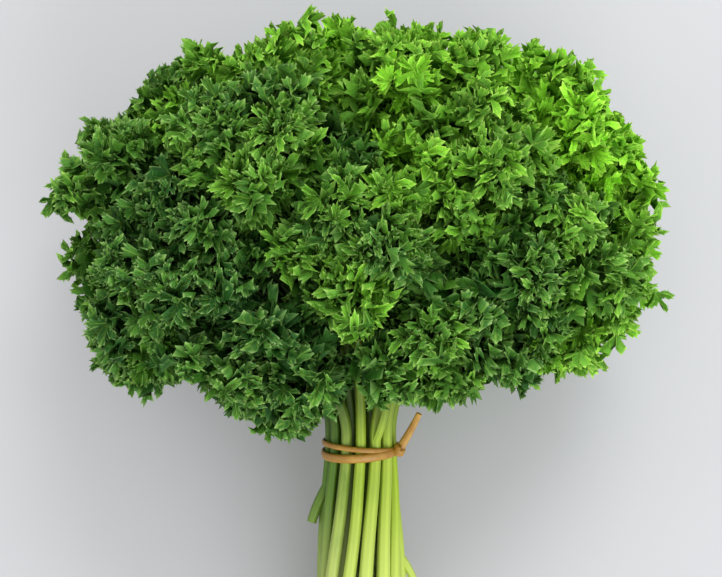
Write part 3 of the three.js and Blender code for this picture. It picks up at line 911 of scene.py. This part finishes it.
def blade_kinds():
    """One mesh that holds every kind of leaf segment and a stalk, told apart by the attribute kind."""
    points, marks, stalk, faces, under, kinds = [], [], [], [], [], []
    for kind in range(STALK_KIND + 1):
        start = len(points)
        new_points, new_marks, upper_faces, lower_faces = stalk_bar() if kind == STALK_KIND else blade(kind)
        points += new_points
        marks += new_marks
        stalk += [float(kind == STALK_KIND)] * len(new_points)
        faces += [tuple(start + v for v in face) for face in upper_faces + lower_faces]
        under += [0.0] * len(upper_faces) + [1.0] * len(lower_faces)
        kinds += [kind] * (len(upper_faces) + len(lower_faces))

    mesh = bpy.data.meshes.new("leaf_kinds")
    mesh.from_pydata(points, [], faces)
    mesh.shade_smooth()
    across, out = zip(*marks)
    for name, values in (("across", across), ("out", out), ("stalk", stalk)):
        put_on(mesh, name, "FLOAT", "POINT", values)
    put_on(mesh, "under", "FLOAT", "FACE", under)
    put_on(mesh, "kind", "INT", "FACE", kinds)
    rim = np.array(out) > SHARP_FROM
    edges = np.array([edge.vertices[:] for edge in mesh.edges])
    put_on(mesh, "sharp_edge", "BOOLEAN", "EDGE", rim[edges].all(axis=1))
    return mesh


def frame_round(axis):
    """Two directions square to an axis and to each other."""
    helper = np.array([1.0, 0, 0]) if abs(axis[2]) > 0.9 else np.array([0, 0, 1.0])
    east = unit(np.cross(helper, axis))
    return east, np.cross(axis, east)


def dome_directions(hub, count, rng, jitter):
    """Directions spread evenly over the dome of a frond, from the way it faces to a little behind its hub."""
    east, north = frame_round(hub["facing"])
    start = rng.uniform(0, math.tau)
    golden_angle = math.pi * (3 - math.sqrt(5))
    k = np.arange(count)
    lean = np.arccos(1 - DOME_DEPTH * (k + 0.5) / count) + jitter * rng.uniform(-1, 1, count)
    turn = start + k * golden_angle + jitter * rng.uniform(-1, 1, count)
    sideways = np.outer(np.cos(turn), east) + np.outer(np.sin(turn), north)
    return np.outer(np.cos(lean), hub["facing"]) + sideways * np.sin(lean)[:, None], lean


def stalk_between(start, end, width, hub, limits):
    """A small stalk inside a frond, as a leaf of the stalk kind."""
    start, end = gather(np.array([start, end]), hub, limits)
    way = end - start
    size = (np.linalg.norm(way), width, width)
    return Leaf(start, unit(way), frame_round(unit(way))[0], size, STALK_KIND, STALK_TONE, STALK_LIGHT)


def pose_segment(way, axis, rise, rng):
    """The ways of a segment's stalk and upper side, from its own place on the dome and its leaflet's."""
    spread = STALK_WAY["from_leaflet"] * (way - (way @ axis) * axis)
    stalk = unit(spread + STALK_WAY["astray"] * rng.normal(size=3) + rng.uniform(*rise) * way)
    upper = UPPER_WAY["leaflet"] * axis + UPPER_WAY["dome"] * way + UPPER_WAY["astray"] * rng.normal(size=3)
    return stalk, unit(upper - (upper @ stalk) * stalk)


def frond_leaves(hub, limits, settings):
    """Every stalk and leaf segment of a frond."""
    rng = np.random.default_rng(FROND_SEED + SEED + hub["index"])
    length = settings.segment_length / MM
    towards_others = (limits[0] / limits[1][:, None])[:FROND_COUNT - 1]
    root = hub["point"] - hub["facing"] * (CORE_RADIUS + MAIN_STALK["behind"])
    tip = hub["point"] + hub["facing"] * MAIN_STALK["ahead"]
    leaves = [stalk_between(root, tip, MAIN_STALK["width"], hub, limits)]

    centres, leans = dome_directions(hub, settings.leaflets, rng, JITTER["leaflet"])
    # Partly painted light: a frond that faces the fresh and lit side is painted fresher and lighter
    sunny = hub["facing"] @ unit(FRESH_AND_LIT_SIDE)
    by_draw = FROND_TONE["drawn"] * drawn_either_way(hub["index"], "age")
    age = clamp(FROND_TONE["usual"] + by_draw + FROND_TONE["by_side"] * sunny)
    tones = LEAFLET_TONE["frond"] * age + LEAFLET_TONE["drawn"] * rng.uniform(0, 1, len(centres))
    heights = rng.uniform(-LEAFLET_UNEVEN, LEAFLET_UNEVEN, len(centres))
    for centre, lean in zip(centres, leans):
        root = hub["point"] + hub["facing"] * (SIDE_STALK["root"] * math.cos(lean))
        tip = hub["point"] + centre * (SIDE_STALK["pole"] + SIDE_STALK["side"] * math.sin(lean))
        leaves.append(stalk_between(root, tip, SIDE_STALK["width"], hub, limits))

    for layer in LAYERS:
        count = layer["share"] * settings.segments * (1 + UNDERSIDE_SHARE * min(hub["facing"][2], 0))
        ways, leans = dome_directions(hub, round(count), rng, JITTER["segment"])
        for way, lean in zip(ways, leans):
            nearest = int(np.argmax(centres @ way))
            axis = centres[nearest]
            valley = min(math.acos(min(axis @ way, 1.0)) / LEAFLET_HALF_WIDTH, 1)
            height = FROND_REACH["pole"] + FROND_REACH["side"] * math.sin(lean) + heights[nearest]
            height -= LEAFLET_ROUNDNESS * valley**2
            reach = layer["reach"] * height + rng.uniform(*SEGMENT_UNEVEN)
            crowding = np.max(towards_others @ way) * reach
            in_cleft = clamp((crowding - CLEFT_RANGE["start"]) / CLEFT_RANGE["width"])
            may_go = layer is LAYERS[0] and way @ ALONG > THINNED_SIDE
            if may_go and rng.uniform() < THINNING * in_cleft:
                continue
            stalk, upper = pose_segment(way, axis, layer["rise"], rng)
            size = (layer["size"] + layer["in_cleft"] * in_cleft) * length
            size *= SEGMENT_SIZES["least"] + SEGMENT_SIZES["spread"] * rng.uniform() ** SEGMENT_SIZES["power"]
            middle = gather((hub["point"] + way * reach)[None], hub, limits)[0]
            base = middle - stalk * (SEGMENT_MIDDLE * size)
            tone = SEGMENT_TONE["leaflet"] * tones[nearest] + SEGMENT_TONE["drawn"] * rng.uniform(0, 1)
            kind = int(rng.integers(*layer["kinds"]))
            # The segment's painted light: painted shade in the inner layers, in clefts and in the valleys
            # between leaflets
            light = layer["light"] * (1 - CLEFT_SHADE * in_cleft) * (1 - VALLEY_SHADE * valley**2)
            leaves.append(Leaf(base, stalk, upper, (size, size, size), kind, tone, light))
    return leaves


def new_object(name, data):
    piece = bpy.data.objects.new(name, data)
    bpy.context.scene.collection.objects.link(piece)
    return piece


def points_object(name, leaves):
    """A point for each leaf segment, with what the tree needs to place and colour it."""
    mesh = bpy.data.meshes.new(name)
    mesh.from_pydata([tuple(leaf.base * MM) for leaf in leaves], [], [])
    columns = (
        ("stalk_way", "FLOAT_VECTOR", [leaf.stalk for leaf in leaves]),
        ("upper_way", "FLOAT_VECTOR", [leaf.upper for leaf in leaves]),
        ("size", "FLOAT_VECTOR", [np.array(leaf.size) * MM for leaf in leaves]),
        ("pick", "INT", [leaf.kind for leaf in leaves]),
        ("tone", "FLOAT", [leaf.tone for leaf in leaves]),
        ("sun", "FLOAT", [leaf.light for leaf in leaves]),
    )
    for column, kind, values in columns:
        put_on(mesh, column, kind, "POINT", values)
    return new_object(name, mesh)


def line_object(name, lines, cyclic=False):
    """Curves through points in millimetres with a radius at each."""
    curve = bpy.data.curves.new(name, "CURVE")
    curve.dimensions = "3D"
    curve.twist_mode = "MINIMUM"
    for points, radii in lines:
        spline = curve.splines.new("POLY")
        spline.points.add(len(points) - 1)
        spline.points.foreach_set("co", np.ravel(np.column_stack([points * MM, np.ones(len(points))])))
        spline.points.foreach_set("radius", np.asarray(radii) * MM)
        spline.use_cyclic_u = cyclic
    return new_object(name, curve)


def new_tree(name, sockets):
    """A Geometry Nodes tree with named inputs; returns it, its Nodes and a Value for each input."""
    tree = bpy.data.node_groups.new(name, "GeometryNodeTree")
    tree.interface.new_socket("Geometry", in_out="INPUT", socket_type="NodeSocketGeometry")
    for socket_name, kind in sockets:
        tree.interface.new_socket(socket_name, in_out="INPUT", socket_type=kind)
    tree.interface.new_socket("Geometry", in_out="OUTPUT", socket_type="NodeSocketGeometry")
    nodes = Nodes(tree)
    group = tree.nodes.new("NodeGroupInput")
    values = {socket.name: Value(nodes, socket) for socket in group.outputs if socket.name}
    return tree, nodes, values


def end_tree(nodes, geometry, material):
    real = nodes.add("GeometryNodeRealizeInstances", None, {"Geometry": geometry})
    dressed = nodes.add("GeometryNodeSetMaterial", None, {"Geometry": real, "Material": material})
    nodes.add("NodeGroupOutput", None, {0: dressed})


def named(nodes, name, kind):
    """A named attribute of the geometry that the tree works on."""
    return nodes.add("GeometryNodeInputNamedAttribute", {"data_type": kind}, {"Name": name})


def store(nodes, geometry, name, value):
    """The geometry with a named attribute on its points."""
    return nodes.add(
        "GeometryNodeStoreNamedAttribute", {"data_type": "FLOAT", "domain": "POINT"},
        {"Geometry": geometry, "Name": name, "Value": value},
    )


def leaf_tree():
    """Puts the picked kind of leaf segment at each point, turned and sized as the point says."""
    tree, nodes, given = new_tree("leaf_tufts", (
        ("Kinds", "NodeSocketObject"),
        ("Roll", "NodeSocketFloat"),
        ("Seed", "NodeSocketInt"),
        ("Material", "NodeSocketMaterial"),
    ))
    kinds = nodes.add("GeometryNodeObjectInfo", None, {"Object": given["Kinds"]}, output=4)
    parts = nodes.add(
        "GeometryNodeSplitToInstances", {"domain": "FACE"},
        {"Geometry": kinds, "Group ID": named(nodes, "kind", "INT")},
    )
    turned = nodes.add(
        "FunctionNodeAxesToRotation", {"primary_axis": "X", "secondary_axis": "Z"},
        {0: named(nodes, "stalk_way", "FLOAT_VECTOR"), 1: named(nodes, "upper_way", "FLOAT_VECTOR")},
    )
    share = nodes.add(
        "FunctionNodeRandomValue", {"data_type": "FLOAT"}, {2: -1.0, 3: 1.0, "Seed": given["Seed"]}, output=1
    )
    angle = share * given["Roll"]
    roll = nodes.add("FunctionNodeAxisAngleToRotation", None, {"Axis": (1, 0, 0), "Angle": angle})
    turned = nodes.add("FunctionNodeRotateRotation", {"rotation_space": "LOCAL"}, {0: turned, 1: roll})
    placed = nodes.add("GeometryNodeInstanceOnPoints", None, {
        "Points": given["Geometry"],
        "Instance": parts,
        "Pick Instance": True,
        "Instance Index": named(nodes, "pick", "INT"),
        "Rotation": turned,
        "Scale": named(nodes, "size", "FLOAT_VECTOR"),
    })
    end_tree(nodes, placed, given["Material"])
    return tree


def sweep_tree():
    """Sweeps an oval or ribbed section along a curve, whose radius attribute sets its size."""
    tree, nodes, given = new_tree("sweep", (
        ("Sides", "NodeSocketInt"),
        ("Ribs", "NodeSocketInt"),
        ("Rib depth", "NodeSocketFloat"),
        ("Flatness", "NodeSocketFloat"),
        ("Material", "NodeSocketMaterial"),
    ))
    circle = {"Resolution": given["Sides"], "Radius": 1.0}
    section = nodes.add("GeometryNodeCurvePrimitiveCircle", {"mode": "RADIUS"}, circle)
    factor = nodes.add("GeometryNodeSplineParameter")
    rib = nodes.math("COSINE", math.tau * factor * given["Ribs"])
    section = store(nodes, section, "rib", rib)
    growth = {0: nodes.add("GeometryNodeInputPosition"), "Scale": 1 + rib * given["Rib depth"]}
    grown = nodes.add("ShaderNodeVectorMath", {"operation": "SCALE"}, growth)
    flatten = nodes.add("ShaderNodeCombineXYZ", None, {0: 1.0, 1: given["Flatness"], 2: 1.0})
    grown = nodes.add("ShaderNodeVectorMath", {"operation": "MULTIPLY"}, {0: grown, 1: flatten})
    section = nodes.add("GeometryNodeSetPosition", None, {"Geometry": section, "Position": grown})
    length = nodes.add("GeometryNodeSplineParameter", output=1)
    line = store(nodes, given["Geometry"], "along", length)
    tube = nodes.add("GeometryNodeCurveToMesh", None, {
        "Curve": line, "Profile Curve": section, "Scale": named(nodes, "radius", "FLOAT"), "Fill Caps": True,
    })
    end_tree(nodes, tube, given["Material"])
    return tree


def made_by(tree, source, name, inputs):
    """The plain mesh that a tree makes of a source object, which is removed."""
    modifier = source.modifiers.new("nodes", "NODES")
    modifier.node_group = tree
    for item in tree.interface.items_tree:
        if item.in_out == "INPUT" and item.name in inputs:
            modifier[item.identifier] = inputs[item.name]
    graph = bpy.context.evaluated_depsgraph_get()
    mesh = bpy.data.meshes.new_from_object(source.evaluated_get(graph))
    mesh.name = name
    data = source.data
    bpy.data.objects.remove(source)
    (bpy.data.meshes if isinstance(data, bpy.types.Mesh) else bpy.data.curves).remove(data)
    return mesh


def points_of(mesh):
    values = np.empty(len(mesh.vertices) * 3)
    mesh.vertices.foreach_get("co", values)
    return values.reshape(-1, 3)


def keep_above(mesh, height):
    """Lifts what is lower than a height, in millimetres, up to it."""
    points = points_of(mesh)
    points[:, 2] = points[:, 2].clip(height * MM)
    mesh.vertices.foreach_set("co", np.ravel(points))
    mesh.update()


def volume_of(mesh):
    """A mesh's volume, which is negative where its faces point inwards."""
    mesh.calc_loop_triangles()
    corners = np.empty(len(mesh.loop_triangles) * 3, dtype=int)
    mesh.loop_triangles.foreach_get("vertices", corners)
    a, b, c = (points_of(mesh)[corners.reshape(-1, 3)[:, k]] for k in range(3))
    return float(np.einsum("ij,ij->i", a, np.cross(b, c)).sum() / 6)


def finish_piece(name, mesh, node):
    """A piece that stands for a node and rides on the bunch's one body."""
    if volume_of(mesh) < 0:
        mesh.flip_normals()
    piece = new_object(name, mesh)
    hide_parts(node)
    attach(piece, "root")
    return piece


def join_meshes(name, meshes):
    """One mesh of several that share a material, which are removed."""
    joined = bmesh.new()
    for mesh in meshes:
        joined.from_mesh(mesh)
    whole = bpy.data.meshes.new(name)
    joined.to_mesh(whole)
    joined.free()
    for material in meshes[0].materials:
        whole.materials.append(material)
    for mesh in meshes:
        bpy.data.meshes.remove(mesh)
    return whole


def dress_ends(mesh):
    """Sinks the flat end of each tube a little, in two rings, and marks it as cut."""
    work = bmesh.new()
    work.from_mesh(mesh)
    layer = work.verts.layers.float.new("cut")
    ends = [face for face in work.faces if len(face.verts) > 4]
    for face in ends:
        size = max((v.co - face.calc_center_median()).length for v in face.verts)
        for depth in CUT_FACE["depths"]:
            thickness = CUT_FACE["inset"] * size
            bmesh.ops.inset_individual(work, faces=[face], thickness=thickness, depth=depth * size)
        for vert in face.verts:
            vert[layer] = 1.0
    work.to_mesh(mesh)
    work.free()


def band_lines(settings):
    """The lines of the band's two turns, of its free end and of the wrap that makes its knot."""
    radius = BUNDLE_RINGS[-1] * STEM_PITCH + STEM_RADIUS["band"] + BAND_GAP
    angles = np.linspace(0, math.tau, TURN_STEPS + 1)[:-1]
    turns = []
    for turn in TURNS:
        lean = turn["along"] - turn["lean_left"] * np.cos(angles) + turn["lean_front"] * np.sin(angles)
        ring = BAND_CENTRE + lean[:, None] * ALONG
        ring = ring + radius * (np.cos(angles)[:, None] * ACROSS + np.sin(angles)[:, None] * UP)
        turns.append((ring, np.full(TURN_STEPS, settings.depth / MM / 2 * turn["width"])))

    knot_turn = math.radians(KNOT["round"])
    knot_radius = radius + KNOT["out"]
    knot = in_bunch(KNOT["along"], knot_radius * math.cos(knot_turn), knot_radius * math.sin(knot_turn))
    ways = (("along", ALONG), ("across", ACROSS), ("out", UP))
    reach = sum(TAG_REACH[name] * way for name, way in ways)
    bend = sum(TAG_REACH[name] * TAG_BEND[name] * way for name, way in ways)
    t = np.linspace(0, 1, TAG_STEPS)[:, None]
    tag = knot + 2 * bend * t * (1 - t) + reach * t**2

    steps = KNOT_WRAP["steps"]
    angles = np.linspace(0, KNOT_WRAP["turns"] * math.tau, steps)
    east, north = frame_round(unit(reach))
    along = np.linspace(-KNOT_WRAP["half_length"], KNOT_WRAP["half_length"], steps)
    wrap = knot + np.outer(along, unit(reach))
    wrap = wrap + KNOT_WRAP["radius"] * (np.outer(np.cos(angles), east) + np.outer(np.sin(angles), north))
    return turns, (tag, np.linspace(*TAG_TAPER, len(tag))), (wrap, np.full(steps, KNOT_WRAP["strand"]))


def add_light(name, target, light_setting, power):
    """A round soft light that shines on a target from the way that its setting gives."""
    light = bpy.data.lights.new(name, "AREA")
    light.shape = "DISK"
    light.size = light_setting["size"]
    light.energy = power
    light.color = LIGHT_COLOUR
    holder = new_object(name, light)
    away = unit(np.array(light_setting["way"]))
    holder.location = target + away * LIGHT_DISTANCE
    holder.rotation_euler = (math.acos(away[2]), 0, math.atan2(away[0], -away[1]))


def add_camera(target, settings):
    """A camera in front of the bunch that looks down on it."""
    camera = bpy.data.cameras.new("camera")
    camera.sensor_width = SENSOR_WIDTH
    camera.lens = camera.sensor_width * CAMERA_DISTANCE / settings.frame_width
    camera.clip_start = CLIP_START
    holder = new_object("camera", camera)
    back = np.array([0, -math.cos(settings.elevation), math.sin(settings.elevation)])
    holder.location = target + back * CAMERA_DISTANCE
    holder.rotation_euler = (math.pi / 2 - settings.elevation, 0, 0)
    bpy.context.scene.camera = holder


class PARSLEY_OT_leaves(bpy.types.Operator):
    """Grows the curly leaves of every frond"""

    bl_idname = "parsley.leaves"
    bl_label = "Leaves"

    def execute(self, context):
        settings = context.scene.parsley_leaf
        material = leaf_material(settings)
        kinds = new_object("leaf_kinds", blade_kinds())
        tree = leaf_tree()
        hubs = place_hubs()
        for hub in hubs:
            low, high = (np.array(corner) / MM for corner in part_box(f"frond_{hub['number']}"))
            if (hub["point"] < low).any() or (hub["point"] > high).any():
                raise RuntimeError(f"hub {hub['number']} isn't inside its frond")
            source = points_object("segments", frond_leaves(hub, limits_of(hub, hubs), settings))
            mesh = made_by(tree, source, f"leaves_{hub['number']}", {
                "Kinds": kinds, "Roll": settings.roll, "Seed": hub["index"], "Material": material,
            })
            for spare in ("stalk_way", "upper_way", "size", "pick", "kind"):
                if spare in mesh.attributes:
                    mesh.attributes.remove(mesh.attributes[spare])
            keep_above(mesh, ABOVE_SURFACE)
            finish_piece(f"leaves_{hub['number']}", mesh, f"frond_{hub['number']}")
        bpy.data.objects.remove(kinds)
        return {"FINISHED"}


class PARSLEY_OT_stems(bpy.types.Operator):
    """Runs the stems from their cut ends through the band to their fronds"""

    bl_idname = "parsley.stems"
    bl_label = "Stems"

    def execute(self, context):
        settings = context.scene.parsley_stem
        material = stem_material(settings)
        tree = sweep_tree()
        hubs = place_hubs()
        for hub in hubs:
            mesh = made_by(tree, line_object("line", lines_of_stem(hub, hubs)), "stem", {
                "Sides": settings.sides, "Ribs": settings.ribs, "Rib depth": settings.rib_depth,
                "Flatness": 1.0, "Material": material,
            })
            dress_ends(mesh)
            marks = {
                "tone": stem_mark(hub, "tone"),
                # painted shade on the stems inside the bundle
                "inner": float(hub["whorl"] < INNER_WHORLS),
                "whiteness": stem_mark(hub, "whiteness"),
            }
            for name, value in marks.items():
                put_on(mesh, name, "FLOAT", "POINT", [value] * len(mesh.vertices))
            keep_above(mesh, STEM_ABOVE_SURFACE)
            mesh.shade_smooth()
            finish_piece(f"stalk_{hub['number']}", mesh, f"stem_{hub['number']}")
        return {"FINISHED"}


class PARSLEY_OT_band(bpy.types.Operator):
    """Winds the rubber band twice round the stems, with its knot and free end"""

    bl_idname = "parsley.band"
    bl_label = "Rubber band"

    def execute(self, context):
        settings = context.scene.parsley_band
        material = band_material(settings)
        tree = sweep_tree()
        turns, tag, wrap = band_lines(settings)
        parts = (
            ("ring", turns, True, settings.sides, settings.width / settings.depth),
            ("tag", [tag], False, settings.sides, TAG_FLATNESS),
            ("wrap", [wrap], False, KNOT_WRAP["sides"], 1.0),
        )
        meshes = [
            made_by(tree, line_object("line", lines, cyclic), name, {
                "Sides": sides, "Ribs": 2, "Rib depth": 0.0, "Flatness": flatness, "Material": material,
            })
            for name, lines, cyclic, sides, flatness in parts
        ]
        mesh = join_meshes("band", meshes)
        mesh.shade_smooth()
        finish_piece("elastic_band", mesh, "rubber_band")
        return {"FINISHED"}


class PARSLEY_OT_stage(bpy.types.Operator):
    """Sets up the surface, the lights and the camera"""

    bl_idname = "parsley.stage"
    bl_label = "Stage"

    def execute(self, context):
        settings = context.scene.parsley_stage
        context.scene.view_settings.view_transform = "Standard"
        mesh = bpy.data.meshes.new("surface")
        corners = [(x * SURFACE_HALF, y * SURFACE_HALF, 0) for x, y in ((-1, -1), (1, -1), (1, 1), (-1, 1))]
        mesh.from_pydata(corners, [], [(0, 1, 2, 3)])
        mesh.materials.append(surface_material(settings))
        new_object("surface", mesh)

        world = bpy.data.worlds.new("studio")
        world.use_nodes = True
        sky = world.node_tree.nodes["Background"]
        sky.inputs["Color"].default_value = SKY_COLOUR
        sky.inputs["Strength"].default_value = settings.sky
        context.scene.world = world

        target = in_bunch(AIM["along"], 0, AIM["out"]) * MM
        add_light("key", target, KEY_LIGHT, settings.key_power)
        add_light("fill", target, FILL_LIGHT, settings.fill_power)
        add_camera(target, settings)
        return {"FINISHED"}


class PARSLEY_PT_panel(bpy.types.Panel):
    """Lists what can be changed, with the operator that makes each group of pieces"""

    bl_label = "Parsley bunch"
    bl_idname = "PARSLEY_PT_panel"
    bl_space_type = "VIEW_3D"
    bl_region_type = "UI"
    bl_category = "Parsley"

    def draw(self, context):
        scene = context.scene
        groups = (
            (scene.parsley_leaf, PARSLEY_OT_leaves),
            (scene.parsley_stem, PARSLEY_OT_stems),
            (scene.parsley_band, PARSLEY_OT_band),
            (scene.parsley_stage, PARSLEY_OT_stage),
        )
        for settings, operator in groups:
            box = self.layout.box()
            for name in settings.bl_rna.properties.keys():
                if name not in ("rna_type", "name"):
                    box.prop(settings, name)
            box.operator(operator.bl_idname)


CLASSES = (
    ParsleyLeafSettings, ParsleyStemSettings, ParsleyBandSettings, ParsleyStageSettings,
    PARSLEY_OT_leaves, PARSLEY_OT_stems, PARSLEY_OT_band, PARSLEY_OT_stage, PARSLEY_PT_panel,
)
SETTINGS = {
    "parsley_leaf": ParsleyLeafSettings,
    "parsley_stem": ParsleyStemSettings,
    "parsley_band": ParsleyBandSettings,
    "parsley_stage": ParsleyStageSettings,
}


def register():
    for cls in CLASSES:
        bpy.utils.register_class(cls)
    for name, cls in SETTINGS.items():
        setattr(bpy.types.Scene, name, bpy.props.PointerProperty(type=cls))


def unregister():
    for name in SETTINGS:
        delattr(bpy.types.Scene, name)
    for cls in reversed(CLASSES):
        bpy.utils.unregister_class(cls)


def main():
    register()
    bpy.ops.parsley.leaves()
    bpy.ops.parsley.stems()
    bpy.ops.parsley.band()
    bpy.ops.parsley.stage()


if __name__ == "__main__":
    main()
